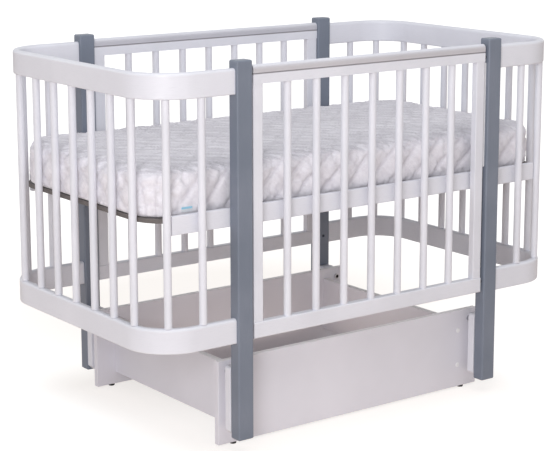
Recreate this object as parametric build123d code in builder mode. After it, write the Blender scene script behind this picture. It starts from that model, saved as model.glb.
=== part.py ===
from build123d import *
from math import cos, pi, sin
import os

os.makedirs("parts", exist_ok=True)

# A swinging cot: a cradle of four posts and bent rail ends hangs on four links from a base frame.
# Millimetres, +Z up, the floor at Z = 0, the drop side towards -Y, the middle of the cot at X = Y = 0.

# Posts
post_width = 42.0
post_depth = 33.0
post_height = 870.0
post_lift = 35.0
post_span_x = 755.0
post_edge_round = 4.0
post_foot_round = 2.0
post_x = post_span_x / 2
post_outer_x = post_x + post_width / 2
post_inner_x = post_x - post_width / 2
post_top_z = post_lift + post_height

# Mattress width, which sets how far apart the two sides stand
mattress_width = 600.0
mattress_side_gap = 5.0
bed_rail_thickness = 18.0
bed_rail_inner_y = mattress_width / 2 + mattress_side_gap
post_inner_y = bed_rail_inner_y + bed_rail_thickness
post_y = post_inner_y + post_depth / 2

# Bent end rails, in plan a U whose arms end on the posts' outer faces
rail_reach = 220.0
rail_thickness = 18.0
rail_height = 58.0
rail_bend_radius = 112.0
rail_upper_round = 7.0
rail_lower_round = 3.0
top_rail_below_post_top = 75.0
low_rail_above_foot = 229.0
top_rail_bottom_z = post_top_z - top_rail_below_post_top
low_rail_bottom_z = post_lift + low_rail_above_foot
rail_outer_y = post_y + rail_thickness / 2
rail_end_x = post_outer_x + rail_reach
low_rail_top_z = low_rail_bottom_z + rail_height

# Round slats with tenons
slat_diameter = 18.0
tenon_diameter = 10.0
tenon_length = 14.0
tenon_gap = 0.1
tenon_bottom_gap = 1.0
end_slat_count = 11
side_slat_count = 7
side_slat_end_gap = 66.0

# Straight sides: the drop side at the front, the fixed side at the back
side_thickness = 20.0
side_stile_thickness = 18.0
side_stile_width = 26.0
side_top_rail_height = 43.0
side_low_rail_height = 38.0
side_above_end_rail = 3.0
side_below_post_top = 13.0
side_low_rail_bottom_z = low_rail_bottom_z + side_above_end_rail
side_top_rail_bottom_z = post_top_z - side_below_post_top - side_top_rail_height
side_bead_height = 20.0
side_groove_depth = 1.6
side_edge_round = 3.0
side_stile_round = 2.0
drop_gap_x = 6.5
drop_travel = 180.0
drop_half_length = post_inner_x - drop_gap_x
side_low_rail_top_z = side_low_rail_bottom_z + side_low_rail_height
side_slat_offset = drop_half_length - side_stile_width - side_slat_end_gap - slat_diameter / 2
side_slat_pitch = 2 * side_slat_offset / (side_slat_count - 1)

# Guides of the drop side
strip_width = 13.0
strip_thickness = 4.0
strip_length = 260.0
strip_below_rail = 3.0
pin_diameter = 6.8
pin_gap = 0.1
pin_end_gap = 0.8
pin_below_rail = 23.0
slot_end_gap = 1.5
stud_diameter = 8.0
stud_above_rail = 27.0
stud_reach = 6.0
stud_root = 14.0
groove_end_gap = 1.0
groove_bottom_gap = 2.0
strip_screw_inset = 6.0
strip_screw_diameter = 3.0
strip_screw_head_diameter = 5.4
strip_screw_length = 16.0
strip_sits_x = post_inner_x - strip_thickness
strip_top_z = side_top_rail_bottom_z - strip_below_rail
stud_height_z = side_low_rail_top_z + stud_above_rail
pin_z = side_top_rail_bottom_z - pin_below_rail
slot_width = pin_diameter + 2 * pin_gap
slot_top_z = pin_z + pin_diameter / 2 + slot_end_gap
slot_bottom_z = pin_z - drop_travel - pin_diameter / 2 - slot_end_gap
groove_width = stud_diameter + 2 * pin_gap
groove_bottom_z = stud_height_z - stud_diameter / 2 - groove_end_gap
groove_top_z = stud_height_z + drop_travel + stud_diameter / 2 + groove_end_gap

# Bolts that hold the bent rails to the posts, heads sunk in the posts' inner faces
rail_bolt_diameter = 6.0
rail_bolt_head_diameter = 13.0
rail_bolt_head_height = 5.0
rail_bolt_sink = 7.0
rail_bolt_grip = 30.0
bolt_gap = 0.1
dowel_diameter = 8.0
dowel_length = 40.0
dowel_above_top_rail_foot = 31.0
dowel_above_low_rail_foot = 8.0
top_dowel_z = side_top_rail_bottom_z + dowel_above_top_rail_foot
low_dowel_z = side_low_rail_bottom_z + dowel_above_low_rail_foot

# Mattress base: two rebated rails bolted to the posts, and a board in the rebates
bed_rail_height = 43.0
bed_rail_above_foot = 494.0
bed_rail_slat_gap = 3.3
bed_rail_round = 2.0
bed_ledge_width = 8.0
bed_ledge_height = 24.0
bed_board_thickness = 10.0
bed_board_end_gap = 6.5
bed_board_side_gap = 0.5
bed_corner_gap = 9.0
bed_bolt_diameter = 8.0
bed_bolt_head_diameter = 13.0
bed_bolt_head_height = 4.0
bed_bolt_grip = 20.0
bed_bolt_above_rail = 12.0
bed_spare_steps = (254.0, 96.0)
bed_rail_bottom_z = post_lift + bed_rail_above_foot
bed_corner_radius = rail_bend_radius - rail_thickness - bed_corner_gap
bed_board_bottom_z = bed_rail_bottom_z + bed_ledge_height
bed_board_half_length = rail_end_x - rail_thickness - bed_board_end_gap
bed_board_half_width = bed_rail_inner_y + bed_ledge_width - bed_board_side_gap
bed_bolt_z = bed_rail_bottom_z + bed_bolt_above_rail
bed_hole_heights = [bed_bolt_z - step for step in (0.0,) + bed_spare_steps]

# Mattress
mattress_end_gap = 5.5
mattress_thickness = 106.0
mattress_crown_radius = 30.0
mattress_half_length = rail_end_x - rail_thickness - mattress_end_gap
mattress_bottom_z = bed_board_bottom_z + bed_board_thickness
tag_width = 28.0
tag_height = 11.0
tag_thickness = 1.2
tag_from_corner = 13.0
tag_above_bottom = 10.0
tag_x = bed_corner_radius + tag_from_corner - mattress_half_length

# Base frame on the floor
stand_board_thickness = 16.0
stand_board_past_pivot = 26.0
stand_board_over_pivot = 25.0
stand_board_gap_y = 42.0
stand_panel_height = 145.0
stand_panel_rise = 30.0
stand_panel_inset = 37.0
stand_edge_round = 1.2
glide_height = 5.0
glide_diameter = 16.0
glide_inset = 45.5
glide_stem_diameter = 4.0
glide_stem_length = 10.0
stand_screw_cap_diameter = 12.0
stand_screw_cap_height = 1.0
stand_screw_diameter = 6.4
stand_screw_length = 50.0
stand_screw_from_edge = 27.0
stand_outer_y = post_inner_y - stand_board_gap_y
stand_inner_y = stand_outer_y - stand_board_thickness
stand_board_half_length = post_x + stand_board_past_pivot
stand_panel_x = post_x - stand_panel_inset
glide_x = stand_board_half_length - glide_inset
stand_panel_bottom_z = glide_height + stand_panel_rise
stand_panel_top_z = stand_panel_bottom_z + stand_panel_height
stand_screw_heights = (
    stand_panel_bottom_z + stand_screw_from_edge,
    stand_panel_top_z - stand_screw_from_edge,
)

# Links: upper pivots on the base frame's boards, lower pivots on the posts
link_width = 42.0
link_thickness = 21.0
link_post_gap = 1.0
link_pivot_distance = 120.0
link_top_margin = 21.0
link_foot_margin = 21.0
link_foot_chamfer = 10.0
link_top_round = 8.0
link_edge_round = 1.5
low_pivot_above_foot = 26.0
pivot_diameter = 8.0
pivot_running_gap = 0.05
pivot_head_diameter = 15.0
pivot_head_height = 5.0
pivot_side_play = 0.3
bearing_diameter = 22.0
bearing_width = 7.0
link_bore_gap = 0.5
nut_width = 13.0
nut_height = 6.5
nut_recess_gap = 0.5
nut_recess_depth = 8.0
spacer_diameter = 16.0
low_bolt_head_diameter = 13.0
low_bolt_grip = 20.0
link_outer_y = post_inner_y - link_post_gap
link_inner_y = link_outer_y - link_thickness
low_pivot_z = post_lift + low_pivot_above_foot
high_pivot_z = low_pivot_z + link_pivot_distance
link_bottom_z = low_pivot_z - link_foot_margin
link_height = link_foot_margin + link_pivot_distance + link_top_margin
link_bore_diameter = pivot_diameter + 2 * link_bore_gap
nut_recess_diameter = nut_width / cos(pi / 6) + 2 * nut_recess_gap
stand_board_height = high_pivot_z + stand_board_over_pivot - glide_height


def end_slat_points(side):
    """Places of the slats of one bent end: even steps along the middle line of the U."""
    bend = rail_bend_radius - rail_thickness / 2
    arm = rail_reach - rail_bend_radius
    reach = 2 * post_y - 2 * bend
    quarter = bend * pi / 2
    step = (2 * arm + 2 * quarter + reach) / (end_slat_count + 1)
    bend_x = post_outer_x + arm
    bend_y = post_y - bend
    points = []
    for number in range(1, end_slat_count + 1):
        along = number * step
        if along <= arm:
            x, y = post_outer_x + along, -post_y
        elif along <= arm + quarter:
            angle = (along - arm) / bend
            x, y = bend_x + bend * sin(angle), -bend_y - bend * cos(angle)
        elif along <= arm + quarter + reach:
            x, y = bend_x + bend, -bend_y + along - arm - quarter
        elif along <= arm + 2 * quarter + reach:
            angle = (along - arm - quarter - reach) / bend
            x, y = bend_x + bend * cos(angle), bend_y + bend * sin(angle)
        else:
            x, y = bend_x - (along - arm - 2 * quarter - reach), post_y
        points.append((side * x, y))
    return points


def side_slat_points(y):
    """Places of the slats of a straight side."""
    return [(number * side_slat_pitch - side_slat_offset, y) for number in range(side_slat_count)]


def y_plane(x, y, z, out):
    """A plane at a point, facing along Y: out is +1 or -1, its second direction is up."""
    return Plane(origin=(x, y, z), x_dir=(-out, 0, 0), z_dir=(0, out, 0))


def x_plane(x, y, z, out):
    """A plane at a point, facing along X: out is +1 or -1, its second direction is up."""
    return Plane(origin=(x, y, z), x_dir=(0, out, 0), z_dir=(out, 0, 0))


def drill(plane, diameter, depth):
    """Cut a round hole into the solid against the plane's facing."""
    with BuildSketch(plane) as mouth:
        Circle(diameter / 2)
    extrude(mouth.sketch, amount=-depth, mode=Mode.SUBTRACT)


def rod(plane, diameter, length):
    """Add a round bar that grows against the plane's facing."""
    with BuildSketch(plane) as section:
        Circle(diameter / 2)
    extrude(section.sketch, amount=-length)


def bent_rail(rail, side, bottom_z):
    """Bent rail of one end: the U plan, its height, and the rounded long edges."""
    inner_reach = rail_reach - rail_thickness
    with BuildSketch(Plane.XY.offset(bottom_z)) as outline:
        with Locations((side * (post_outer_x + rail_reach / 2), 0)):
            Rectangle(rail_reach, 2 * rail_outer_y)
        far_corners = outline.vertices().filter_by(lambda v: abs(v.X) > rail_end_x - 1)
        fillet(far_corners, rail_bend_radius)
    extrude(outline.sketch, amount=rail_height)
    with BuildSketch(Plane.XY.offset(bottom_z)) as hollow:
        with Locations((side * (post_outer_x + inner_reach / 2), 0)):
            Rectangle(inner_reach, 2 * (rail_outer_y - rail_thickness))
        far_corners = hollow.vertices().filter_by(lambda v: abs(v.X) > post_outer_x + 1)
        fillet(far_corners, rail_bend_radius - rail_thickness)
    extrude(hollow.sketch, amount=rail_height, mode=Mode.SUBTRACT)
    long_edges = rail.edges().filter_by(lambda e: abs(e.center().X) > post_outer_x + 1)
    fillet(long_edges.group_by(Axis.Z)[-1], rail_upper_round)
    long_edges = rail.edges().filter_by(lambda e: abs(e.center().X) > post_outer_x + 1)
    fillet(long_edges.group_by(Axis.Z)[0], rail_lower_round)
    for end_y in (-post_y, post_y):
        bolt_plane = x_plane(side * post_outer_x, end_y, bottom_z + rail_height / 2, -side)
        drill(bolt_plane, rail_bolt_diameter + 2 * bolt_gap, rail_bolt_grip + 1)


def tenon_holes(points, face_z, up):
    """Blind holes for slat tenons in a rail face: up is +1 to bore upwards, -1 downwards."""
    with BuildSketch(Plane.XY.offset(face_z)) as mouths:
        with Locations(*points):
            Circle(tenon_diameter / 2 + tenon_gap)
    extrude(mouths.sketch, amount=up * (tenon_length + tenon_bottom_gap), mode=Mode.SUBTRACT)


def slats(points, bottom_z, top_z):
    """Round slats between two rail faces, with a tenon on each end."""
    with BuildSketch(Plane.XY.offset(bottom_z)) as bars:
        with Locations(*points):
            Circle(slat_diameter / 2)
    extrude(bars.sketch, amount=top_z - bottom_z)
    with BuildSketch(Plane.XY.offset(bottom_z - tenon_length)) as tenons:
        with Locations(*points):
            Circle(tenon_diameter / 2)
    extrude(tenons.sketch, amount=top_z - bottom_z + 2 * tenon_length)


def post(column, side_x, side_y):
    """One post with the holes that every post has."""
    with BuildSketch(Plane.XY.offset(post_lift)) as section:
        with Locations((side_x * post_x, side_y * post_y)):
            Rectangle(post_width, post_depth)
    extrude(section.sketch, amount=post_height)
    fillet(column.edges().filter_by(Axis.Z), post_edge_round)
    fillet(column.edges().group_by(Axis.Z)[-1], post_edge_round)
    chamfer(column.edges().group_by(Axis.Z)[0], post_foot_round)
    for rail_z in (top_rail_bottom_z, low_rail_bottom_z):
        bolt_plane = x_plane(side_x * post_inner_x, side_y * post_y, rail_z + rail_height / 2, -side_x)
        drill(bolt_plane, rail_bolt_diameter + 2 * bolt_gap, post_width)
        drill(bolt_plane, rail_bolt_head_diameter + 2 * bolt_gap, rail_bolt_sink)
    for hole_z in bed_hole_heights:
        bed_plane = y_plane(side_x * post_x, side_y * post_inner_y, hole_z, -side_y)
        drill(bed_plane, bed_bolt_diameter + 2 * bolt_gap, bed_bolt_grip + 1)
    link_plane = y_plane(side_x * post_x, side_y * post_inner_y, low_pivot_z, -side_y)
    drill(link_plane, pivot_diameter + 2 * bolt_gap, low_bolt_grip + 1)


def front_post_holes(side_x):
    """Holes of a front post for the guide stud and the strip's screws."""
    stud_plane = x_plane(side_x * post_inner_x, -post_y, stud_height_z, -side_x)
    drill(stud_plane, stud_diameter + 2 * bolt_gap, stud_root + 1)
    for screw_z in strip_screw_heights:
        screw_plane = x_plane(side_x * post_inner_x, -post_y, screw_z, -side_x)
        drill(screw_plane, strip_screw_diameter + 2 * bolt_gap, strip_screw_length)


def back_post_holes(side_x):
    """Holes of a back post for the dowels of the fixed side."""
    for dowel_z in (top_dowel_z, low_dowel_z):
        dowel_plane = x_plane(side_x * post_inner_x, post_y, dowel_z, -side_x)
        drill(dowel_plane, dowel_diameter + 2 * bolt_gap, dowel_length / 2 + 1)


def side_top_rail(half_length, y):
    """Top rail of a straight side: flat below, a groove, and a round bead on top."""
    half = side_thickness / 2
    flat = side_top_rail_height - side_bead_height
    with BuildSketch(x_plane(-half_length, y, side_top_rail_bottom_z, 1)) as section:
        with BuildLine():
            Polyline(
                (-half, side_top_rail_height - half),
                (-half, flat + side_groove_depth),
                (-half + side_groove_depth, flat),
                (-half, flat - side_groove_depth),
                (-half, 0),
                (half, 0),
                (half, flat - side_groove_depth),
                (half - side_groove_depth, flat),
                (half, flat + side_groove_depth),
                (half, side_top_rail_height - half),
            )
            ThreePointArc(
                (half, side_top_rail_height - half),
                (0, side_top_rail_height),
                (-half, side_top_rail_height - half),
            )
        make_face()
    extrude(section.sketch, amount=2 * half_length)
    tenon_holes(side_slat_points(y), side_top_rail_bottom_z, 1)


def side_low_rail(rail, half_length, y):
    """Bottom rail of a straight side."""
    with BuildSketch(Plane.XY.offset(side_low_rail_bottom_z)) as section:
        with Locations((0, y)):
            Rectangle(2 * half_length, side_thickness)
    extrude(section.sketch, amount=side_low_rail_height)
    fillet(rail.edges().filter_by(Axis.X), side_edge_round)
    tenon_holes(side_slat_points(y), side_low_rail_top_z, -1)


def side_stiles(half_length, width, y):
    """The two flat stiles between the rails of a straight side."""
    with BuildSketch(Plane.XY.offset(side_low_rail_top_z)) as section:
        with Locations((-half_length + width / 2, y), (half_length - width / 2, y)):
            RectangleRounded(width, side_stile_thickness, side_stile_round)
    extrude(section.sketch, amount=side_top_rail_bottom_z - side_low_rail_top_z)


def link(bar, side_x, side_y):
    """One link bar with its bearing seats, bores and nut recess."""
    low_plane = y_plane(side_x * post_x, side_y * link_inner_y, low_pivot_z, -side_y)
    high_plane = y_plane(side_x * post_x, side_y * link_inner_y, high_pivot_z, -side_y)
    face_plane = y_plane(side_x * post_x, side_y * link_outer_y, high_pivot_z, side_y)
    with BuildSketch(Plane.XY.offset(link_bottom_z)) as section:
        with Locations((side_x * post_x, side_y * (link_outer_y - link_thickness / 2))):
            Rectangle(link_width, link_thickness)
    extrude(section.sketch, amount=link_height)
    chamfer(bar.edges().filter_by(Axis.Y).group_by(Axis.Z)[0], link_foot_chamfer)
    fillet(bar.edges().filter_by(Axis.Y).group_by(Axis.Z)[-1], link_top_round)
    fillet(bar.faces().sort_by(Axis.Y)[0].edges(), link_edge_round)
    fillet(bar.faces().sort_by(Axis.Y)[-1].edges(), link_edge_round)
    for plane in (low_plane, high_plane):
        drill(plane, bearing_diameter, bearing_width)
        drill(plane, link_bore_diameter, link_thickness)
    drill(face_plane, nut_recess_diameter, nut_recess_depth)


def ring(plane, outer_diameter, inner_diameter, length):
    """Add a sleeve that grows along the plane's facing."""
    with BuildSketch(plane) as section:
        Circle(outer_diameter / 2)
        Circle(inner_diameter / 2, mode=Mode.SUBTRACT)
    extrude(section.sketch, amount=length)


def bearings(side_x, side_y):
    """Two ball bearings, flush with the link's face towards the base frame."""
    for pivot_z in (low_pivot_z, high_pivot_z):
        seat = y_plane(side_x * post_x, side_y * link_inner_y, pivot_z, side_y)
        ring(seat, bearing_diameter, pivot_diameter + 2 * pivot_running_gap, bearing_width)


def stand_board(board, side_y):
    """One long board of the base frame."""
    with BuildSketch(y_plane(0, side_y * stand_outer_y, glide_height, side_y)) as section:
        with Locations((0, stand_board_height / 2)):
            Rectangle(2 * stand_board_half_length, stand_board_height)
    extrude(section.sketch, amount=-stand_board_thickness)
    fillet(board.edges(), stand_edge_round)
    for x in (-post_x, post_x):
        pivot_plane = y_plane(x, side_y * stand_outer_y, high_pivot_z, side_y)
        drill(pivot_plane, pivot_diameter + 2 * bolt_gap, stand_board_thickness)
    for x in (-stand_panel_x, stand_panel_x):
        for z in stand_screw_heights:
            screw_plane = y_plane(x, side_y * stand_outer_y, z, side_y)
            drill(screw_plane, stand_screw_diameter + 2 * bolt_gap, stand_board_thickness)
    for x in (-glide_x, glide_x):
        stem_plane = Plane(
            origin=(x, side_y * (stand_outer_y - stand_board_thickness / 2), glide_height),
            x_dir=(1, 0, 0),
            z_dir=(0, 0, -1),
        )
        drill(stem_plane, glide_stem_diameter + 2 * bolt_gap, glide_stem_length + 1)


def stand_panel(panel, side_x):
    """One short panel between the boards of the base frame."""
    outer_x = stand_panel_x + stand_board_thickness / 2
    with BuildSketch(Plane.XY.offset(stand_panel_bottom_z)) as section:
        with Locations((side_x * (outer_x - stand_board_thickness / 2), 0)):
            Rectangle(stand_board_thickness, 2 * stand_inner_y)
    extrude(section.sketch, amount=stand_panel_height)
    fillet(panel.edges().filter_by(Axis.Y), stand_edge_round)
    for side_y in (-1, 1):
        for z in stand_screw_heights:
            screw_plane = y_plane(side_x * stand_panel_x, side_y * stand_inner_y, z, side_y)
            screw_depth = stand_screw_length - stand_board_thickness + 1
            drill(screw_plane, stand_screw_diameter + 2 * bolt_gap, screw_depth)


def bed_rail(rail, side_y):
    """One mattress base rail: a rebated section along X, with its bolt holes."""
    middle_y = side_y * (post_inner_y - bed_rail_thickness / 2)
    rebate_y = side_y * (bed_rail_inner_y + bed_ledge_width / 2)
    with BuildSketch(Plane.XY.offset(bed_rail_bottom_z)) as section:
        with Locations((0, middle_y)):
            Rectangle(2 * bed_rail_half_length, bed_rail_thickness)
    extrude(section.sketch, amount=bed_rail_height)
    fillet(rail.edges().filter_by(Axis.X), bed_rail_round)
    with BuildSketch(Plane.XY.offset(bed_board_bottom_z)) as rebate:
        with Locations((0, rebate_y)):
            Rectangle(2 * bed_rail_half_length, bed_ledge_width)
    extrude(rebate.sketch, amount=bed_rail_height - bed_ledge_height, mode=Mode.SUBTRACT)
    for x in (-post_x, post_x):
        bolt_plane = y_plane(x, side_y * bed_rail_inner_y, bed_bolt_z, -side_y)
        drill(bolt_plane, bed_bolt_diameter + 2 * bolt_gap, bed_rail_thickness)


strip_screw_heights = (
    strip_top_z - strip_screw_inset,
    strip_top_z - strip_length + strip_screw_inset,
)
bed_rail_half_length = end_slat_points(1)[1][0] - slat_diameter / 2 - bed_rail_slat_gap

with BuildPart() as stand_board_front:
    stand_board(stand_board_front, -1)

with BuildPart() as stand_board_back:
    stand_board(stand_board_back, 1)

with BuildPart() as stand_panel_left:
    stand_panel(stand_panel_left, -1)

with BuildPart() as stand_panel_right:
    stand_panel(stand_panel_right, 1)

with BuildPart() as floor_glides:
    glide_y = stand_outer_y - stand_board_thickness / 2
    glide_places = [(x, y) for x in (-glide_x, glide_x) for y in (-glide_y, glide_y)]
    with BuildSketch(Plane.XY):
        with Locations(*glide_places):
            Circle(glide_diameter / 2)
    extrude(amount=glide_height)
    chamfer(floor_glides.edges().group_by(Axis.Z)[0], glide_height / 5)
    with BuildSketch(Plane.XY.offset(glide_height)):
        with Locations(*glide_places):
            Circle(glide_stem_diameter / 2)
    extrude(amount=glide_stem_length)

with BuildPart() as stand_screws:
    for side_y in (-1, 1):
        for x in (-stand_panel_x, stand_panel_x):
            for z in stand_screw_heights:
                face_plane = y_plane(x, side_y * stand_outer_y, z, side_y)
                rod(face_plane, stand_screw_diameter, stand_screw_length)
                with BuildSketch(face_plane):
                    Circle(stand_screw_cap_diameter / 2)
                extrude(amount=stand_screw_cap_height, taper=30)

with BuildPart() as pivot_bolts:
    for side_y in (-1, 1):
        for x in (-post_x, post_x):
            head_plane = y_plane(x, side_y * stand_inner_y, high_pivot_z, -side_y)
            shank = link_outer_y - pivot_side_play - stand_inner_y
            rod(head_plane, pivot_diameter, shank)
            with BuildSketch(head_plane):
                Circle(pivot_head_diameter / 2)
            head = extrude(amount=pivot_head_height)
            fillet(head.edges().group_by(Axis.Y)[-1 if side_y < 0 else 0], pivot_head_height / 3)

with BuildPart() as pivot_spacers:
    for side_y in (-1, 1):
        for x in (-post_x, post_x):
            spacer_plane = y_plane(x, side_y * stand_outer_y, high_pivot_z, side_y)
            spacer_length = link_inner_y - pivot_side_play - stand_outer_y
            ring(spacer_plane, spacer_diameter, pivot_diameter + 2 * bolt_gap, spacer_length)

with BuildPart() as pivot_nuts:
    for side_y in (-1, 1):
        for x in (-post_x, post_x):
            seat_y = link_outer_y - nut_recess_depth + pivot_side_play
            with BuildSketch(y_plane(x, side_y * seat_y, high_pivot_z, side_y)):
                RegularPolygon(nut_width / 2, 6, major_radius=False)
                Circle(pivot_diameter / 2, mode=Mode.SUBTRACT)
            extrude(amount=nut_height)

with BuildPart() as link_front_left:
    link(link_front_left, -1, -1)

with BuildPart() as link_front_right:
    link(link_front_right, 1, -1)

with BuildPart() as link_back_left:
    link(link_back_left, -1, 1)

with BuildPart() as link_back_right:
    link(link_back_right, 1, 1)

with BuildPart() as bearings_front_left:
    bearings(-1, -1)

with BuildPart() as bearings_front_right:
    bearings(1, -1)

with BuildPart() as bearings_back_left:
    bearings(-1, 1)

with BuildPart() as bearings_back_right:
    bearings(1, 1)

with BuildPart() as post_front_left:
    post(post_front_left, -1, -1)
    front_post_holes(-1)

with BuildPart() as post_front_right:
    post(post_front_right, 1, -1)
    front_post_holes(1)

with BuildPart() as post_back_left:
    post(post_back_left, -1, 1)
    back_post_holes(-1)

with BuildPart() as post_back_right:
    post(post_back_right, 1, 1)
    back_post_holes(1)

with BuildPart() as link_bolts:
    for side_y in (-1, 1):
        for x in (-post_x, post_x):
            seat_y = link_inner_y - pivot_side_play
            head_plane = y_plane(x, side_y * seat_y, low_pivot_z, -side_y)
            rod(head_plane, pivot_diameter, post_inner_y + low_bolt_grip - seat_y)
            with BuildSketch(head_plane):
                Circle(low_bolt_head_diameter / 2)
            extrude(amount=pivot_head_height)

with BuildPart() as rail_left_top:
    bent_rail(rail_left_top, -1, top_rail_bottom_z)
    tenon_holes(end_slat_points(-1), top_rail_bottom_z, 1)

with BuildPart() as rail_left_bottom:
    bent_rail(rail_left_bottom, -1, low_rail_bottom_z)
    tenon_holes(end_slat_points(-1), low_rail_top_z, -1)

with BuildPart() as rail_right_top:
    bent_rail(rail_right_top, 1, top_rail_bottom_z)
    tenon_holes(end_slat_points(1), top_rail_bottom_z, 1)

with BuildPart() as rail_right_bottom:
    bent_rail(rail_right_bottom, 1, low_rail_bottom_z)
    tenon_holes(end_slat_points(1), low_rail_top_z, -1)

with BuildPart() as slats_left:
    slats(end_slat_points(-1), low_rail_top_z, top_rail_bottom_z)

with BuildPart() as slats_right:
    slats(end_slat_points(1), low_rail_top_z, top_rail_bottom_z)

with BuildPart() as rail_bolts:
    for side_x in (-1, 1):
        for y in (-post_y, post_y):
            for rail_z in (top_rail_bottom_z, low_rail_bottom_z):
                seat_x = post_inner_x + rail_bolt_sink
                seat_plane = x_plane(side_x * seat_x, y, rail_z + rail_height / 2, -side_x)
                rod(seat_plane, rail_bolt_diameter, post_outer_x + rail_bolt_grip - seat_x)
                with BuildSketch(seat_plane):
                    Circle(rail_bolt_head_diameter / 2)
                extrude(amount=rail_bolt_head_height)

with BuildPart() as back_rail_top:
    side_top_rail(post_inner_x, post_y)
    for side_x in (-1, 1):
        end_plane = x_plane(side_x * post_inner_x, post_y, top_dowel_z, side_x)
        drill(end_plane, dowel_diameter + 2 * bolt_gap, dowel_length / 2 + 1)

with BuildPart() as back_rail_bottom:
    side_low_rail(back_rail_bottom, post_inner_x, post_y)
    for side_x in (-1, 1):
        end_plane = x_plane(side_x * post_inner_x, post_y, low_dowel_z, side_x)
        drill(end_plane, dowel_diameter + 2 * bolt_gap, dowel_length / 2 + 1)

with BuildPart() as back_stiles:
    side_stiles(post_inner_x, side_stile_width + drop_gap_x, post_y)

with BuildPart() as back_slats:
    slats(side_slat_points(post_y), side_low_rail_top_z, side_top_rail_bottom_z)

with BuildPart() as back_dowels:
    for side_x in (-1, 1):
        for dowel_z in (top_dowel_z, low_dowel_z):
            dowel_end = post_inner_x + dowel_length / 2
            rod(x_plane(side_x * dowel_end, post_y, dowel_z, side_x), dowel_diameter, dowel_length)

with BuildPart() as guide_strips:
    for side_x in (-1, 1):
        strip_plane = x_plane(side_x * post_inner_x, -post_y, strip_top_z - strip_length / 2, -side_x)
        with BuildSketch(strip_plane):
            RectangleRounded(strip_width, strip_length, strip_width / 4)
            with Locations((0, (slot_top_z + slot_bottom_z) / 2 - strip_top_z + strip_length / 2)):
                SlotOverall(slot_top_z - slot_bottom_z, slot_width, rotation=90, mode=Mode.SUBTRACT)
        extrude(amount=strip_thickness)
        for screw_z in strip_screw_heights:
            face_plane = x_plane(side_x * strip_sits_x, -post_y, screw_z, -side_x)
            drill(face_plane, strip_screw_diameter + 2 * bolt_gap, strip_thickness)
            drill(face_plane, strip_screw_head_diameter + 2 * bolt_gap, strip_thickness / 2)

with BuildPart() as guide_screws:
    for side_x in (-1, 1):
        for screw_z in strip_screw_heights:
            seat_x = strip_sits_x + strip_thickness / 2
            seat_plane = x_plane(side_x * seat_x, -post_y, screw_z, -side_x)
            rod(seat_plane, strip_screw_diameter, strip_screw_length)
            with BuildSketch(seat_plane):
                Circle(strip_screw_head_diameter / 2)
            extrude(amount=strip_thickness / 2 - bolt_gap)

with BuildPart() as guide_studs:
    for side_x in (-1, 1):
        stud_end = drop_half_length - stud_reach
        stud_plane = x_plane(side_x * stud_end, -post_y, stud_height_z, -side_x)
        rod(stud_plane, stud_diameter, post_inner_x + stud_root - stud_end)

with BuildPart() as bed_rail_front:
    bed_rail(bed_rail_front, -1)

with BuildPart() as bed_rail_back:
    bed_rail(bed_rail_back, 1)

with BuildPart() as bed_board:
    with BuildSketch(Plane.XY.offset(bed_board_bottom_z)):
        RectangleRounded(2 * bed_board_half_length, 2 * bed_board_half_width, bed_corner_radius)
    extrude(amount=bed_board_thickness)

with BuildPart() as bed_bolts:
    for side_y in (-1, 1):
        for x in (-post_x, post_x):
            head_plane = y_plane(x, side_y * bed_rail_inner_y, bed_bolt_z, -side_y)
            rod(head_plane, bed_bolt_diameter, bed_rail_thickness + bed_bolt_grip)
            with BuildSketch(head_plane):
                Circle(bed_bolt_head_diameter / 2)
            extrude(amount=bed_bolt_head_height)

# Mattress outline from the foot up: share of the thickness, and how far it is drawn in as a share of
# the width. Two sewn channels run round the sides, and the top rises to a low crown.
mattress_shape = (
    (0.000, 0.0200),
    (0.035, 0.0070),
    (0.090, 0.0013),
    (0.108, 0.0050),
    (0.126, 0.0013),
    (0.280, 0.0002),
    (0.450, 0.0000),
    (0.640, 0.0003),
    (0.790, 0.0018),
    (0.810, 0.0056),
    (0.830, 0.0030),
    (0.885, 0.0085),
    (0.925, 0.0200),
    (0.955, 0.0450),
    (0.980, 0.1100),
    (1.000, 0.2400),
)

with BuildPart() as mattress:
    for height_share, inset_share in mattress_shape:
        inset = inset_share * mattress_width
        with BuildSketch(Plane.XY.offset(mattress_bottom_z + height_share * mattress_thickness)):
            RectangleRounded(
                2 * (mattress_half_length - inset),
                mattress_width - 2 * inset,
                max(bed_corner_radius - inset, mattress_crown_radius),
            )
    loft(ruled=True)

with BuildPart() as mattress_tag:
    tag_plane = y_plane(tag_x, -mattress_width / 2, mattress_bottom_z + tag_above_bottom, -1)
    with BuildSketch(tag_plane):
        with Locations((0, tag_height / 2)):
            Rectangle(tag_width, tag_height)
    extrude(amount=tag_thickness)

with BuildPart() as drop_rail_top:
    side_top_rail(drop_half_length, -post_y)

with BuildPart() as drop_rail_bottom:
    side_low_rail(drop_rail_bottom, drop_half_length, -post_y)

with BuildPart() as drop_stiles:
    side_stiles(drop_half_length, side_stile_width, -post_y)
    for side_x in (-1, 1):
        groove_plane = x_plane(side_x * drop_half_length, -post_y, (groove_bottom_z + groove_top_z) / 2, side_x)
        with BuildSketch(groove_plane):
            SlotOverall(groove_top_z - groove_bottom_z, groove_width, rotation=90)
        extrude(amount=-(stud_reach + groove_bottom_gap), mode=Mode.SUBTRACT)
        pin_plane = x_plane(side_x * drop_half_length, -post_y, pin_z, side_x)
        drill(pin_plane, pin_diameter, stud_root)

with BuildPart() as drop_slats:
    slats(side_slat_points(-post_y), side_low_rail_top_z, side_top_rail_bottom_z)

with BuildPart() as drop_pins:
    for side_x in (-1, 1):
        pin_plane = x_plane(side_x * (post_inner_x - pin_end_gap), -post_y, pin_z, side_x)
        rod(pin_plane, pin_diameter, stud_root + drop_gap_x - pin_end_gap)

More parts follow.
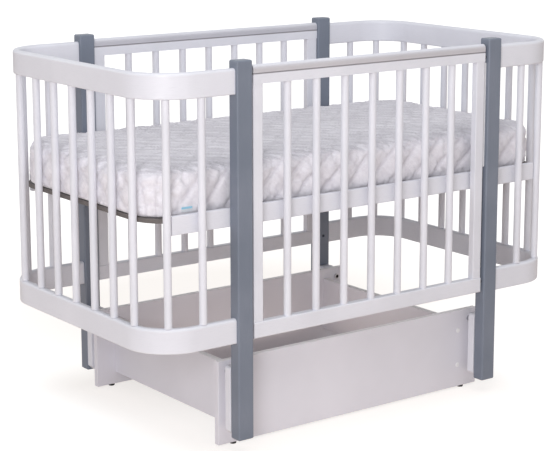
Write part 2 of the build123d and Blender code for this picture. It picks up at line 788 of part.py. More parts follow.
pieces = {
    "stand_board_front": stand_board_front,
    "stand_board_back": stand_board_back,
    "stand_panel_left": stand_panel_left,
    "stand_panel_right": stand_panel_right,
    "floor_glides": floor_glides,
    "stand_screws": stand_screws,
    "pivot_bolts": pivot_bolts,
    "pivot_spacers": pivot_spacers,
    "pivot_nuts": pivot_nuts,
    "link_front_left": link_front_left,
    "link_front_right": link_front_right,
    "link_back_left": link_back_left,
    "link_back_right": link_back_right,
    "bearings_front_left": bearings_front_left,
    "bearings_front_right": bearings_front_right,
    "bearings_back_left": bearings_back_left,
    "bearings_back_right": bearings_back_right,
    "post_front_left": post_front_left,
    "post_front_right": post_front_right,
    "post_back_left": post_back_left,
    "post_back_right": post_back_right,
    "link_bolts": link_bolts,
    "rail_left_top": rail_left_top,
    "rail_left_bottom": rail_left_bottom,
    "rail_right_top": rail_right_top,
    "rail_right_bottom": rail_right_bottom,
    "slats_left": slats_left,
    "slats_right": slats_right,
    "rail_bolts": rail_bolts,
    "back_rail_top": back_rail_top,
    "back_rail_bottom": back_rail_bottom,
    "back_stiles": back_stiles,
    "back_slats": back_slats,
    "back_dowels": back_dowels,
    "guide_strips": guide_strips,
    "guide_screws": guide_screws,
    "guide_studs": guide_studs,
    "bed_rail_front": bed_rail_front,
    "bed_rail_back": bed_rail_back,
    "bed_board": bed_board,
    "bed_bolts": bed_bolts,
    "mattress": mattress,
    "mattress_tag": mattress_tag,
    "drop_rail_top": drop_rail_top,
    "drop_rail_bottom": drop_rail_bottom,
    "drop_stiles": drop_stiles,
    "drop_slats": drop_slats,
    "drop_pins": drop_pins,
}

for name, piece in pieces.items():
    piece.part.label = name
    export_step(piece.part, "parts/" + name + ".step")
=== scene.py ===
import math

import bmesh
import bpy
import numpy as np
from mathutils import Matrix, Vector


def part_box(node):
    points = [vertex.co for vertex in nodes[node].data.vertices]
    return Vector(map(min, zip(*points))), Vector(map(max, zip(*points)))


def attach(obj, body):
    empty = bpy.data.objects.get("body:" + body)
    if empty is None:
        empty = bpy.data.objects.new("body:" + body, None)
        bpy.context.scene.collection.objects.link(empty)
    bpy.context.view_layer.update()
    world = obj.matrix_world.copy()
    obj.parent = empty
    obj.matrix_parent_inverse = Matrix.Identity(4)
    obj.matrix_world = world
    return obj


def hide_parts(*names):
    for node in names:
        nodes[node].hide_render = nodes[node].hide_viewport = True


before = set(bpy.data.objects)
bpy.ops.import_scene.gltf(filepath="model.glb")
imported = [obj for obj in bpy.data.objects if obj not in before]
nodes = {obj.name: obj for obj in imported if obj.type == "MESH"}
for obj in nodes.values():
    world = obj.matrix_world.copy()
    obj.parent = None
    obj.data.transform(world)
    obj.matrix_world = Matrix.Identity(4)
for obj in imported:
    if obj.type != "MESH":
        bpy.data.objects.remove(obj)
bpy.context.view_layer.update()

# Width of the picture that the camera is set for, in pixels
PICTURE_WIDTH = 555


def linear(red, green, blue):
    """Linear colour from values of 0 to 255 as they look on a screen."""
    values = []
    for value in (red, green, blue):
        share = value / 255
        values.append(share / 12.92 if share < 0.04045 else ((share + 0.055) / 1.055) ** 2.4)
    return (*values, 1.0)


class Paint:
    """A material with a Principled shader and short ways to add nodes to it."""

    def __init__(self, name, roughness, metallic=0.0, specular=0.5):
        self.material = bpy.data.materials.new(name)
        self.material.use_nodes = True
        self.tree = self.material.node_tree
        self.shader = self.tree.nodes["Principled BSDF"]
        self.shader.inputs["Roughness"].default_value = roughness
        self.shader.inputs["Metallic"].default_value = metallic
        self.shader.inputs["Specular IOR Level"].default_value = specular
        self.place = self.tree.nodes.new("ShaderNodeTexCoord").outputs["Object"]

    def node(self, kind, **values):
        made = self.tree.nodes.new(kind)
        for key, value in values.items():
            setattr(made, key, value)
        return made

    def link(self, source, target):
        self.tree.links.new(source, target)

    def stretched(self, scale, source=None):
        """Object coordinates, stretched by a scale along each axis."""
        mapping = self.node("ShaderNodeMapping")
        mapping.inputs["Scale"].default_value = scale
        self.link(source or self.place, mapping.inputs["Vector"])
        return mapping.outputs["Vector"]

    def turned(self, source, degrees):
        """Flat coordinates turned so that X runs along a line at that angle."""
        mapping = self.node("ShaderNodeMapping")
        mapping.inputs["Rotation"].default_value = (0.0, 0.0, math.radians(-degrees))
        self.link(source, mapping.inputs["Vector"])
        return mapping.outputs["Vector"]

    def noise(self, vector, scale, detail=3.0, roughness=0.5, distortion=0.0):
        made = self.node("ShaderNodeTexNoise")
        made.inputs["Scale"].default_value = scale
        made.inputs["Detail"].default_value = detail
        made.inputs["Roughness"].default_value = roughness
        made.inputs["Distortion"].default_value = distortion
        self.link(vector, made.inputs["Vector"])
        return made.outputs["Fac"]

    def span(self, value, low, high, new_low, new_high):
        """Map a value from one range to another, clamped."""
        made = self.node("ShaderNodeMapRange")
        for key, number in (("From Min", low), ("From Max", high), ("To Min", new_low), ("To Max", new_high)):
            made.inputs[key].default_value = number
        self.link(value, made.inputs["Value"])
        return made.outputs["Result"]

    def split(self, vector):
        """The X, Y and Z of a vector."""
        parts = self.node("ShaderNodeSeparateXYZ")
        self.link(vector, parts.inputs["Vector"])
        return parts.outputs["X"], parts.outputs["Y"], parts.outputs["Z"]

    def math(self, operation, first, second=None):
        """One step of arithmetic on sockets or numbers."""
        made = self.node("ShaderNodeMath", operation=operation)
        for index, value in enumerate((first, second)):
            if value is None:
                continue
            if isinstance(value, (int, float)):
                made.inputs[index].default_value = value
            else:
                self.link(value, made.inputs[index])
        return made.outputs["Value"]

    def length(self, first, second):
        """Length of a flat vector from its two parts."""
        squares = [self.math("MULTIPLY", part, part) for part in (first, second)]
        return self.math("SQRT", self.math("ADD", *squares))

    def blend(self, factor, first, second):
        """Mix two colours by a factor."""
        made = self.node("ShaderNodeMix", data_type="RGBA")
        self.link(factor, made.inputs["Factor"])
        for index, value in ((6, first), (7, second)):
            if isinstance(value, tuple):
                made.inputs[index].default_value = value
            else:
                self.link(value, made.inputs[index])
        return made.outputs[2]

    def colour(self, source):
        self.link(source, self.shader.inputs["Base Color"])

    def rough(self, source):
        self.link(source, self.shader.inputs["Roughness"])

    def bump(self, height, distance, strength=1.0, below=None):
        """Raise the surface by a height, on top of an earlier bump if one is given."""
        made = self.node("ShaderNodeBump")
        made.inputs["Strength"].default_value = strength
        made.inputs["Distance"].default_value = distance
        self.link(height, made.inputs["Height"])
        if below is not None:
            self.link(below, made.inputs["Normal"])
        self.link(made.outputs["Normal"], self.shader.inputs["Normal"])
        return made.outputs["Normal"]


def painted_wood(name, colour, darker, grain, roughness, grain_depth=0.00012, bead=None):
    """Satin paint over wood: faint long grain, roller texture and slightly uneven gloss.

    bead is the lowest and highest Z of a round moulding along the top of a rail: painted shade darkens the
    colour along its groove and over its face, which is tilted down.
    """
    paint = Paint(name, roughness)
    along = paint.stretched(grain)
    pores = paint.noise(along, 55.0, 4.0, 0.6, 0.3)
    cloud = paint.noise(paint.place, 7.0, 2.0)
    tone = paint.blend(paint.span(cloud, 0.35, 0.65, 0.0, 1.0), colour, darker)
    streak = tuple(c * 0.93 for c in darker[:3]) + (1.0,)
    skin = paint.blend(paint.span(pores, 0.52, 0.75, 0.0, 0.6), tone, streak)
    if bead:
        low, high = bead
        level = paint.split(paint.place)[2]
        # Painted shade: the colour darkens along the groove and over the bead's face below its top
        away = paint.math("ABSOLUTE", paint.math("SUBTRACT", level, low))
        line = paint.span(away, 0.0006, 0.0024, 0.75, 0.0)
        bead_face_shade = paint.span(level, high - 0.006, high - 0.001, 0.2, 0.0)
        bead_face_shade = paint.math("MULTIPLY", bead_face_shade, paint.math("GREATER_THAN", level, low))
        skin = paint.blend(paint.math("MAXIMUM", line, bead_face_shade), skin, linear(118, 112, 118))
    paint.colour(skin)
    peel = paint.noise(paint.place, 420.0, 2.0)
    paint.rough(paint.span(cloud, 0.3, 0.7, roughness - 0.04, roughness + 0.07))
    surface = paint.bump(pores, grain_depth, 0.5)
    surface = paint.bump(peel, 0.00004, 0.4, surface)
    if bead:
        paint.bump(paint.span(level, low, high - 0.004, 0.0, 1.0), 0.006, 1.0, surface)
    return paint.material


def sheet_board(name, colour, darker, edge, roughness):
    """Coated board: an even skin, fine pebble and faint cloudiness, with a painted highlight whitening its
    top edge.
    """
    paint = Paint(name, roughness)
    cloud = paint.noise(paint.place, 4.0, 3.0)
    skin = paint.blend(paint.span(cloud, 0.35, 0.65, 0.0, 1.0), colour, darker)
    upward = paint.split(paint.node("ShaderNodeNewGeometry").outputs["Normal"])[2]
    # Painted highlight: faces that point up, such as the top edges, take the whiter edge colour
    paint.colour(paint.blend(paint.span(upward, 0.45, 0.8, 0.0, 1.0), skin, edge))
    paint.rough(paint.span(paint.noise(paint.place, 60.0, 3.0), 0.3, 0.7, roughness - 0.05, roughness + 0.06))
    paint.bump(paint.noise(paint.place, 700.0, 2.0), 0.00005, 0.35)
    return paint.material


def fibre_board(name, colour, darker, roughness):
    """Raw fibreboard: fine fibres in layers parallel to its faces."""
    paint = Paint(name, roughness)
    fibres = paint.noise(paint.stretched((1.0, 1.0, 12.0)), 90.0, 5.0, 0.65)
    paint.colour(paint.blend(paint.span(fibres, 0.35, 0.65, 0.0, 1.0), colour, darker))
    paint.bump(fibres, 0.00015, 0.5)
    return paint.material


def metal(name, colour, darker, roughness, metallic):
    """Plated or painted steel with fine tool marks."""
    paint = Paint(name, roughness, metallic)
    marks = paint.noise(paint.place, 350.0, 4.0, 0.6)
    paint.colour(paint.blend(paint.span(marks, 0.35, 0.7, 0.0, 1.0), colour, darker))
    paint.rough(paint.span(marks, 0.3, 0.7, roughness - 0.08, roughness + 0.12))
    paint.bump(marks, 0.00003, 0.4)
    return paint.material


def plastic(name, colour, darker, roughness):
    """Moulded plastic with a fine spark-eroded texture."""
    paint = Paint(name, roughness)
    cloud = paint.noise(paint.place, 40.0, 3.0)
    paint.colour(paint.blend(paint.span(cloud, 0.35, 0.65, 0.0, 1.0), colour, darker))
    paint.rough(paint.span(cloud, 0.3, 0.7, roughness - 0.05, roughness + 0.08))
    paint.bump(paint.noise(paint.place, 1500.0, 2.0), 0.00003, 0.5)
    return paint.material


WHITE = linear(225, 226, 234)
WHITE_DARKER = linear(219, 220, 228)
BOARD = linear(224, 223, 231)
BOARD_DARKER = linear(217, 216, 224)
POST = linear(122, 129, 143)
POST_DARKER = linear(112, 120, 134)

# Lowest and highest Z of the round moulding on the straight sides' top rails
RAIL_BEAD = (0.872, 0.892)

# The upper pivots' distance from the middle and their height, and the radius of the painted shade that stands
# for their bolts' sockets
PIVOT_X = 0.3775
PIVOT_Z = 0.181
SOCKET_RADIUS = 0.0047

white_along_x = painted_wood("white_paint_x", WHITE, WHITE_DARKER, (1.0, 14.0, 14.0), 0.38)
# Its colour carries painted shade along the bead's groove and face
white_bead_shaded = painted_wood(
    "white_paint_bead_shaded", WHITE, WHITE_DARKER, (1.0, 14.0, 14.0), 0.38, bead=RAIL_BEAD
)
white_along_z = painted_wood("white_paint_z", WHITE, WHITE_DARKER, (14.0, 14.0, 1.0), 0.38)
white_bent = painted_wood("white_paint_bent", WHITE, WHITE_DARKER, (1.0, 1.0, 16.0), 0.36)
post_paint = painted_wood("post_paint", POST, POST_DARKER, (16.0, 16.0, 0.8), 0.42, 0.0003)
# The third colour is the painted highlight on the boards' top edges
board_skin = sheet_board("board_skin", BOARD, BOARD_DARKER, linear(248, 246, 248), 0.42)
panel_board = fibre_board("bed_board_fibre", linear(116, 110, 108), linear(94, 89, 88), 0.75)
steel = metal("zinc_steel", linear(190, 190, 194), linear(160, 160, 166), 0.32, 1.0)
black_steel = metal("black_steel", linear(38, 38, 40), linear(26, 26, 28), 0.45, 0.3)
black_plastic = plastic("black_plastic", linear(34, 34, 35), linear(24, 24, 25), 0.5)
white_plastic = plastic("white_plastic", linear(236, 236, 238), linear(228, 228, 231), 0.28)


def bolt_head():
    """Painted shade for a socket in the middle of each pivot bolt's head: a near-black disc, and zinc round
    it.
    """
    paint = Paint("pivot_bolt_steel", 0.35, 0.9)
    across, _, up = paint.split(paint.place)
    off = paint.math("SUBTRACT", paint.math("ABSOLUTE", across), PIVOT_X)
    rise = paint.math("SUBTRACT", up, PIVOT_Z)
    reach = paint.length(off, rise)
    marks = paint.noise(paint.place, 500.0, 4.0, 0.6)
    zinc = paint.blend(paint.span(marks, 0.35, 0.7, 0.0, 1.0), linear(214, 212, 216), linear(190, 188, 193))
    # Painted shade: a near-black disc where the socket's hollow would be in shade
    socket = paint.span(reach, SOCKET_RADIUS - 0.0003, SOCKET_RADIUS + 0.0003, 1.0, 0.0)
    paint.colour(paint.blend(socket, zinc, linear(24, 24, 26)))
    paint.bump(marks, 0.00003, 0.4)
    return paint.material


pivot_head = bolt_head()

NODE_MATERIALS = {
    post_paint: ("post_front_left", "post_front_right", "post_back_left", "post_back_right"),
    white_bent: ("rail_left_top", "rail_left_bottom", "rail_right_top", "rail_right_bottom"),
    white_along_z: (
        "slats_left", "slats_right", "back_slats", "back_stiles", "drop_slats", "drop_stiles",
        "link_front_left", "link_front_right", "link_back_left", "link_back_right",
    ),
    white_along_x: (
        "back_rail_bottom", "drop_rail_bottom", "bed_rail_front", "bed_rail_back", "back_dowels",
    ),
    white_bead_shaded: ("back_rail_top", "drop_rail_top"),
    pivot_head: ("pivot_bolts",),
    board_skin: ("stand_board_front", "stand_board_back", "stand_panel_left", "stand_panel_right"),
    panel_board: ("bed_board",),
    steel: (
        "bearings_front_left", "bearings_front_right", "bearings_back_left", "bearings_back_right",
        "link_bolts", "guide_studs", "pivot_spacers", "pivot_nuts",
    ),
    black_steel: ("rail_bolts", "bed_bolts", "guide_screws"),
    black_plastic: ("floor_glides", "drop_pins"),
    white_plastic: ("stand_screws", "guide_strips"),
}
for finish, names in NODE_MATERIALS.items():
    for name in names:
        for slot in nodes[name].material_slots:
            slot.material = finish

# Mattress cover: pitch of each seam family, how deep the seams sink, the part of that depth that rounds
# the cloth between them, and the depth and half width of a stitch, the width as a share of the pitch
FIRST_PITCH = 0.042
SECOND_PITCH = 0.049
QUILT_DEPTH = 0.0042
ROUNDING_SHARE = 0.62
STITCH_DEPTH = 0.0010
STITCH_SHARE = 0.07

# Share of that depth in the middle of the top and at its edge, and how far in from the edge it changes
TOP_SHARE = 0.4
EDGE_SHARE = 0.8
EDGE_REACH = 0.05

# Where the quilting begins above the cover's foot, and over what height it grows to its full depth
FOOT_BEGINS = 0.002
FOOT_FADE = 0.012

# How far in from an end its own sewing begins, and over what length it takes over
END_BEGINS = 0.06
END_FADE = 0.05
CORNER_RADIUS = 0.085

# How far below the top the sides begin, and over what height the one turns into the other
SIDE_BEGINS = 0.018
SIDE_FADE = 0.014

# Levels of the plain shell: share of the height, and how far it draws in from the solid's outline
SHELL_LEVELS = (
    (0.000, 0.006), (0.030, 0.003), (0.080, 0.0008), (0.160, 0.0), (0.500, 0.0), (0.760, 0.0006),
    (0.850, 0.0025), (0.910, 0.0065), (0.950, 0.0120), (0.975, 0.0200), (0.990, 0.0330), (0.9965, 0.0600),
    (1.000, 0.1100),
)
CORNER_STEPS = 14
VOXEL = 0.0055

# Cloth: frames of pressure, the share of the pitch that is pinned at a seam, the height that is pinned at
# the foot, the longest move of a point, and how far the cover may stand proud of its solid
CLOTH_FRAMES = 16
PINNED_SHARE = 0.075
PINNED_FOOT = 0.006
PUFF_LIMIT = 0.006
STANDS_PROUD = 0.002

# The flat place behind the tag: how far it goes past the tag's edges and behind its back, how far it lies
# inside the solid's front, and the heights on the tag between which its pale blue edge begins
TAG_MARGIN = 0.004
TAG_DEPTH = 0.01
TAG_INSET = 0.0004
TAG_EDGE = (0.006, 0.007)


def quilt_lines(across, down):
    """Distances to the nearest seam of each slanting family, as shares of the pitch from 0 to 0.5."""
    # The seams aren't quite straight
    wander = 0.05 * np.sin(across * 31.0 + down * 17.0) + 0.04 * np.sin(across * 13.0 - down * 43.0)
    first = (across + down) / math.sqrt(2) / FIRST_PITCH + wander
    second = (across - down) / math.sqrt(2) / SECOND_PITCH + wander
    return np.abs(first - np.round(first)), np.abs(second - np.round(second))


def flatness(points, high):
    """1 on the mattress's top and 0 on its sides."""
    return np.clip((points[:, 2] - high[2] + SIDE_BEGINS) / SIDE_FADE, 0.0, 1.0)


def seam_strengths(points, low, high):
    """How strongly each family is sewn: the first most on the top, the second most on the long sides.

    On the ends both are about as strong.
    """
    top = flatness(points, high)
    half = (high - low) / 2
    end = np.clip((np.abs(points[:, 0]) - half[0] + END_BEGINS) / END_FADE, 0.0, 1.0)
    first = top + (1.0 - top) * (0.3 + 0.4 * end)
    second = top * 0.35 + (1.0 - top) * (1.0 - 0.25 * end)
    return first, second


def top_share(points, low, high):
    """1 on the mattress's sides, down to TOP_SHARE in the middle of its top, where cloth lies flatter."""
    half = (high - low) / 2
    edge = np.min(half[:2] - np.abs(points[:, :2]), axis=1)
    flat = TOP_SHARE + (EDGE_SHARE - TOP_SHARE) * np.exp(-((edge / EDGE_REACH) ** 2))
    return 1.0 + (flat - 1.0) * flatness(points, high)


def unfold(points, low, high):
    """Places on the cover as if its sides were folded up level with its top."""
    half = (high - low) / 2
    middle = (high + low) / 2
    flat = points[:, :2] - middle[:2]
    core = np.clip(flat, -(half[:2] - CORNER_RADIUS), half[:2] - CORNER_RADIUS)
    away = flat - core
    length = np.maximum(np.linalg.norm(away, axis=1, keepdims=True), 1e-6)
    down = np.clip(high[2] - points[:, 2], 0.0, None)[:, None]
    return flat + away / length * down * np.clip(length / 0.02, 0.0, 1.0)


def sewn_families(points, low, high):
    """For each seam family, the distance to its nearest seam and how strongly it is sewn."""
    spread = unfold(points, low, high)
    return zip(quilt_lines(spread[:, 0], spread[:, 1]), seam_strengths(points, low, high))


def mattress_shell(low, high):
    """A plain closed shell with round corners, crowned at its top edge."""
    half = (high - low) / 2
    middle = (high + low) / 2
    thickness = high[2] - low[2]
    shell = bmesh.new()
    rings = []
    for share, inset in SHELL_LEVELS:
        ring = []
        radius = max(CORNER_RADIUS - inset, 0.03)
        for corner_x, corner_y, start in ((1, 1, 0), (-1, 1, 90), (-1, -1, 180), (1, -1, 270)):
            centre_x = corner_x * (half[0] - inset - radius)
            centre_y = corner_y * (half[1] - inset - radius)
            for step in range(CORNER_STEPS + 1):
                angle = math.radians(start + 90 * step / CORNER_STEPS)
                ring.append(shell.verts.new((
                    middle[0] + centre_x + radius * math.cos(angle),
                    middle[1] + centre_y + radius * math.sin(angle),
                    low[2] + share * thickness,
                )))
        rings.append(ring)
    for below, above in zip(rings, rings[1:]):
        for index in range(len(below)):
            following = (index + 1) % len(below)
            shell.faces.new((below[index], below[following], above[following], above[index]))
    shell.faces.new(list(reversed(rings[0])))
    shell.faces.new(rings[-1])
    mesh = bpy.data.meshes.new("mattress_shell")
    shell.to_mesh(mesh)
    shell.free()
    return mesh


def mattress_piece():
    """The quilted cover, in the space of the mattress's solid."""
    low, high = (np.array(corner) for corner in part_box("mattress"))
    piece = bpy.data.objects.new("mattress_cover", mattress_shell(low, high))
    bpy.context.scene.collection.objects.link(piece)
    remesh = piece.modifiers.new("remesh", "REMESH")
    remesh.mode = "VOXEL"
    remesh.voxel_size = VOXEL
    remesh.use_smooth_shade = True
    baked = evaluated_mesh(piece)
    piece.modifiers.clear()
    piece.data = baked
    quilt(piece, low, high)
    puff(piece, low, high)
    finish_cover(piece, low, high)
    return piece


def evaluated_mesh(piece):
    """A new mesh with the piece's modifiers applied."""
    return bpy.data.meshes.new_from_object(piece.evaluated_get(bpy.context.evaluated_depsgraph_get()))


def point_array(mesh, kind="co"):
    """The mesh's points or normals as rows of an array."""
    values = np.empty(len(mesh.vertices) * 3, dtype=np.float32)
    mesh.vertices.foreach_get(kind, values)
    return values.reshape(-1, 3).astype(float)


def set_points(mesh, points):
    """Move the mesh's points to the rows of an array."""
    mesh.vertices.foreach_set("co", points.astype(np.float32).ravel())
    mesh.update()


def quilt(piece, low, high):
    """Sink the seams of the quilting and let the cloth between them stand proud."""
    mesh = piece.data
    points = point_array(mesh)
    normals = point_array(mesh, "normal")
    height = np.zeros(len(points))
    for off, strength in sewn_families(points, low, high):
        height += strength * (ROUNDING_SHARE * QUILT_DEPTH * (np.sin(np.pi * off) ** 0.5 - 1.0))
        height -= strength * STITCH_DEPTH * np.exp(-((off / STITCH_SHARE) ** 2))
    foot = np.clip((points[:, 2] - low[2] - FOOT_BEGINS) / FOOT_FADE, 0.0, 1.0)
    height *= foot * top_share(points, low, high)
    set_points(mesh, points + normals * height[:, None])


def puff(piece, low, high):
    """Blow the cloth up between its pinned seams."""
    mesh = piece.data
    start = point_array(mesh)
    pinned = start[:, 2] < low[2] + PINNED_FOOT
    for off, strength in sewn_families(start, low, high):
        pinned |= (off < PINNED_SHARE) & (strength > 0.5)
    group = piece.vertex_groups.new(name="seams")
    group.add([int(index) for index in np.nonzero(pinned)[0]], 1.0, "REPLACE")
    cloth = piece.modifiers.new("cloth", "CLOTH")
    settings = cloth.settings
    settings.quality = 4
    settings.mass = 0.2
    settings.tension_stiffness = 12
    settings.compression_stiffness = 12
    settings.shear_stiffness = 4
    settings.bending_stiffness = 0.3
    settings.use_pressure = True
    settings.uniform_pressure_force = 4.0
    settings.shrink_min = -0.09
    settings.effector_weights.gravity = 0.0
    settings.vertex_group_mass = "seams"
    cloth.collision_settings.use_self_collision = False
    cloth.collision_settings.use_collision = False
    scene = bpy.context.scene
    scene.frame_start, scene.frame_end = 1, CLOTH_FRAMES
    cloth.point_cache.frame_start, cloth.point_cache.frame_end = 1, CLOTH_FRAMES
    for number in range(1, CLOTH_FRAMES + 1):
        scene.frame_set(number)
    moved = point_array(evaluated_mesh(piece)) - start
    scene.frame_set(1)
    piece.modifiers.clear()
    piece.vertex_groups.clear()
    limit = PUFF_LIMIT * top_share(start, low, high)[:, None]
    length = np.maximum(np.linalg.norm(moved, axis=1, keepdims=True), 1e-9)
    moved *= np.minimum(1.0, limit / length)
    set_points(mesh, start + moved)


def finish_cover(piece, low, high):
    """Keep the cover in its solid's space and flat behind its tag, and store what its material reads."""
    mesh = piece.data
    points = point_array(mesh)
    for axis in (0, 1):
        points[:, axis] = np.clip(points[:, axis], low[axis] - STANDS_PROUD, high[axis] + STANDS_PROUD)
    points[:, 2] = np.clip(points[:, 2], low[2], None)
    tag_low, tag_high = (np.array(corner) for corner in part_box("mattress_tag"))
    behind_tag = points[:, 1] < tag_high[1] + TAG_DEPTH
    for axis in (0, 2):
        behind_tag &= points[:, axis] > tag_low[axis] - TAG_MARGIN
        behind_tag &= points[:, axis] < tag_high[axis] + TAG_MARGIN
    points[behind_tag, 1] = low[1] + TAG_INSET
    set_points(mesh, points)
    spread = unfold(points, low, high)
    layer = mesh.uv_layers.new(name="cover")
    corners = np.empty(len(mesh.loops), dtype=np.int32)
    mesh.loops.foreach_get("vertex_index", corners)
    layer.data.foreach_set("uv", spread[corners].astype(np.float32).ravel())
    # How near each point lies to a strongly sewn seam, which the material uses for painted shade
    sewn = np.zeros(len(points))
    for off, strength in sewn_families(points, low, high):
        sewn = np.maximum(sewn, strength * np.clip(1.0 - off / 0.13, 0.0, 1.0))
    for name, values in (("sewn", sewn), ("top", flatness(points, high))):
        mesh.attributes.new(name, "FLOAT", "POINT").data.foreach_set("value", values.astype(np.float32))
    mesh.polygons.foreach_set("use_smooth", [True] * len(mesh.polygons))


def ticking():
    """Quilted knit: light grey with painted shade at its seams, fine ribs and a soft sheen."""
    paint = Paint("ticking", 0.85, specular=0.25)
    paint.shader.inputs["Sheen Weight"].default_value = 0.25
    paint.shader.inputs["Sheen Roughness"].default_value = 0.5
    cover = paint.node("ShaderNodeUVMap", uv_map="cover").outputs["UV"]
    sewn = paint.node("ShaderNodeAttribute", attribute_name="sewn").outputs["Fac"]
    top = paint.node("ShaderNodeAttribute", attribute_name="top").outputs["Fac"]
    ribs = paint.noise(paint.stretched((14.0, 150.0, 1.0), paint.turned(cover, -45.0)), 1.0, 3.0, 0.5, 0.4)
    swirl = paint.noise(paint.stretched((42.0, 42.0, 1.0), cover), 1.0, 4.0, 0.6, 1.6)
    ribbing = paint.span(ribs, 0.42, 0.6, 0.0, 1.0)
    ribbing = paint.math("MULTIPLY", ribbing, paint.span(top, 0.0, 1.0, 0.25, 1.0))
    base = paint.blend(ribbing, linear(238, 236, 242), linear(219, 216, 223))
    base = paint.blend(paint.span(swirl, 0.45, 0.62, 0.0, 0.5), base, linear(222, 219, 227))
    # Painted shade: the colour darkens towards the seams
    base = paint.blend(paint.math("MULTIPLY", sewn, 0.35), base, linear(168, 162, 172))
    paint.colour(base)
    weave = paint.noise(paint.stretched((900.0, 1300.0, 1.0), cover), 1.0, 2.0)
    surface = paint.bump(ribbing, 0.0014, 0.7)
    surface = paint.bump(swirl, 0.0022, 0.5, surface)
    paint.bump(weave, 0.00025, 0.5, surface)
    return paint.material


def woven_tape():
    """Woven tape without any print: off-white with a pale blue upper edge."""
    paint = Paint("woven_tape", 0.6)
    threads = paint.noise(paint.stretched((1.0, 1.0, 6.0)), 900.0, 2.0)
    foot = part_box("mattress_tag")[0][2]
    begins, ends = (foot + height for height in TAG_EDGE)
    edge = paint.span(paint.split(paint.place)[2], begins, ends, 0.0, 1.0)
    weave = paint.span(threads, 0.35, 0.65, 0.0, 1.0)
    body = paint.blend(weave, linear(226, 230, 234), linear(210, 215, 220))
    paint.colour(paint.blend(edge, body, linear(150, 204, 226)))
    paint.bump(threads, 0.0001, 0.6)
    return paint.material


mattress = mattress_piece()
mattress.data.materials.clear()
mattress.data.materials.append(ticking())
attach(mattress, "cradle")
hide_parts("mattress")
tape = woven_tape()
for slot in nodes["mattress_tag"].material_slots:
    slot.material = tape


# Floor: half its width, half the length and width of the base frame's place on it, how far the crib's
# shadow shows round that, and the share of white that the camera sees there and past it
FLOOR_HALF = 60.0
FRAME_HALVES = (0.40, 0.30)
SHADOW_REACH = 0.26
WHITE_NEAR = 0.62
WHITE_FAR = 0.97

# The middle of the patch behind the crib where the floor's glow is tinted warm as painted shade, and where
# that tint begins and ends to fade
WARM_MIDDLE = (0.35, 0.75, 0.0)
WARM_INNER = 0.4
WARM_OUTER = 1.1


def floor_piece():
    """A pale floor that goes on far past the picture, white to the camera away from the crib, with painted
    warm shade in its glow behind it.
    """
    half = FLOOR_HALF
    corners = [(-half, -half, 0), (half, -half, 0), (half, half, 0), (-half, half, 0)]
    mesh = bpy.data.meshes.new("floor")
    mesh.from_pydata(corners, [], [(0, 1, 2, 3)])
    piece = bpy.data.objects.new("floor", mesh)
    bpy.context.scene.collection.objects.link(piece)
    paint = Paint("floor_paint", 0.6, specular=0.1)
    cloud = paint.noise(paint.place, 3.0, 2.0)
    patches = paint.span(cloud, 0.3, 0.7, 0.0, 1.0)
    paint.colour(paint.blend(patches, linear(247, 232, 220), linear(244, 229, 217)))
    gaps = []
    for value, reach in zip(paint.split(paint.place), FRAME_HALVES):
        beyond = paint.math("SUBTRACT", paint.math("ABSOLUTE", value), reach)
        gaps.append(paint.math("MAXIMUM", beyond, 0.0))
    share = paint.span(paint.length(*gaps), 0.0, SHADOW_REACH, WHITE_NEAR, WHITE_FAR)
    share.node.interpolation_type = "SMOOTHSTEP"
    behind = paint.node("ShaderNodeVectorMath", operation="DISTANCE")
    behind.inputs[1].default_value = WARM_MIDDLE
    paint.link(paint.place, behind.inputs[0])
    glow = paint.node("ShaderNodeEmission")
    glow.inputs["Strength"].default_value = 1.0
    # Painted warm shade: the glow turns warm near the patch's middle
    warm_shade = paint.span(behind.outputs["Value"], WARM_INNER, WARM_OUTER, 1.0, 0.0)
    tone = paint.blend(warm_shade, (1.2, 1.2, 1.2, 1.0), (0.985, 0.95, 0.92, 1.0))
    paint.link(tone, glow.inputs["Color"])
    seen = paint.node("ShaderNodeLightPath").outputs["Is Camera Ray"]
    mixed = paint.node("ShaderNodeMixShader")
    paint.link(paint.math("MULTIPLY", share, seen), mixed.inputs[0])
    paint.link(paint.shader.outputs["BSDF"], mixed.inputs[1])
    paint.link(glow.outputs["Emission"], mixed.inputs[2])
    paint.link(mixed.outputs["Shader"], paint.tree.nodes["Material Output"].inputs["Surface"])
    mesh.materials.append(paint.material)


floor_piece()


def sky():
    """Soft even light, and plain white for camera, glossy and transmission rays."""
    world = bpy.data.worlds.new("studio")
    bpy.context.scene.world = world
    world.use_nodes = True
    tree = world.node_tree
    soft = tree.nodes["Background"]
    soft.inputs["Color"].default_value = (0.97, 0.975, 1.0, 1.0)
    soft.inputs["Strength"].default_value = 0.45
    white = tree.nodes.new("ShaderNodeBackground")
    white.inputs["Color"].default_value = (1.0, 1.0, 1.0, 1.0)
    rays = tree.nodes.new("ShaderNodeLightPath")
    shown = rays.outputs["Is Camera Ray"]
    for kind in ("Is Glossy Ray", "Is Transmission Ray"):
        either = tree.nodes.new("ShaderNodeMath")
        either.operation = "MAXIMUM"
        tree.links.new(shown, either.inputs[0])
        tree.links.new(rays.outputs[kind], either.inputs[1])
        shown = either.outputs[0]
    mixed = tree.nodes.new("ShaderNodeMixShader")
    tree.links.new(shown, mixed.inputs[0])
    tree.links.new(soft.outputs["Background"], mixed.inputs[1])
    tree.links.new(white.outputs["Background"], mixed.inputs[2])
    tree.links.new(mixed.outputs["Shader"], tree.nodes["World Output"].inputs["Surface"])


sky()


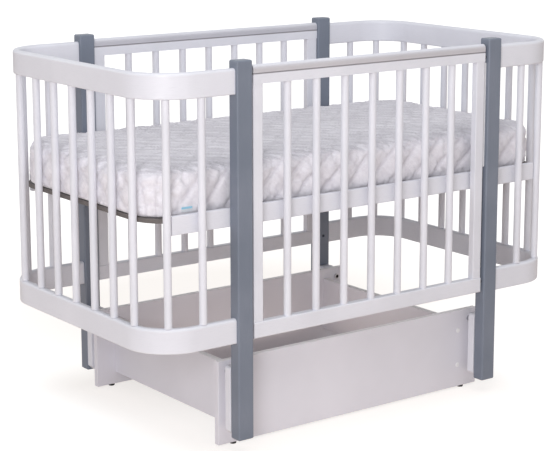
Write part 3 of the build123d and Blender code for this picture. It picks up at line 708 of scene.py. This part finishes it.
def softbox(name, place, aim, width, height, power, colour):
    """A rectangular lamp that the camera doesn't see."""
    data = bpy.data.lights.new(name, "AREA")
    data.shape = "RECTANGLE"
    data.size, data.size_y = width, height
    data.energy = power
    data.color = colour
    lamp = bpy.data.objects.new(name, data)
    lamp.location = place
    lamp.rotation_euler = (Vector(aim) - Vector(place)).to_track_quat("-Z", "Y").to_euler()
    lamp.visible_camera = False
    bpy.context.scene.collection.objects.link(lamp)


PLAIN_LIGHT = (1.0, 1.0, 1.0)
COOL_LIGHT = (0.975, 0.98, 1.0)
WARM_LIGHT = (1.0, 0.84, 0.73)

# Name, place, aim, width, height, power in watts and colour
LAMPS = (
    ("key_light", (-3.3, -3.2, 1.6), (0.0, 0.0, 0.5), 1.6, 1.6, 84.0, COOL_LIGHT),
    ("top_light", (-0.4, -1.4, 3.2), (0.0, 0.1, 0.5), 2.6, 1.8, 31.0, PLAIN_LIGHT),
    ("fill_light", (3.6, -1.0, 1.6), (0.0, 0.0, 0.5), 2.4, 1.6, 6.0, PLAIN_LIGHT),
    ("back_light", (-2.6, 3.0, 2.2), (0.0, 0.0, 0.5), 1.8, 1.8, 16.0, PLAIN_LIGHT),
    ("floor_bounce", (0.0, 0.0, 0.03), (0.0, 0.0, 1.0), 0.6, 0.45, 0.5, WARM_LIGHT),
)
for lamp_values in LAMPS:
    softbox(*lamp_values)

# Camera's place, its yaw, pitch and roll in radians, its focal length in pixels, and its lens shift
CAMERA_PLACE = (-2.4865, -3.3148, 1.3349)
CAMERA_TURN = (0.63876, 0.18998, -0.00103)
CAMERA_FOCUS = 1670.7
CAMERA_SHIFT = -0.08


def camera():
    """The camera at the photograph's viewing angle."""
    yaw, pitch, roll = CAMERA_TURN
    flat = math.cos(pitch)
    ahead = Vector((math.sin(yaw) * flat, math.cos(yaw) * flat, -math.sin(pitch)))
    level = Vector((math.cos(yaw), -math.sin(yaw), 0.0))
    upright = level.cross(ahead)
    right = math.cos(roll) * level + math.sin(roll) * upright
    above = -math.sin(roll) * level + math.cos(roll) * upright
    data = bpy.data.cameras.new("camera")
    data.sensor_fit = "HORIZONTAL"
    data.sensor_width = 36.0
    data.lens = CAMERA_FOCUS / PICTURE_WIDTH * data.sensor_width
    data.shift_y = CAMERA_SHIFT
    data.clip_start, data.clip_end = 0.1, 200.0
    eye = bpy.data.objects.new("camera", data)
    turn = Matrix((right, above, -ahead)).transposed().to_4x4()
    eye.matrix_world = Matrix.Translation(Vector(CAMERA_PLACE)) @ turn
    bpy.context.scene.collection.objects.link(eye)
    bpy.context.scene.camera = eye


camera()
bpy.context.scene.view_settings.view_transform = "Standard"
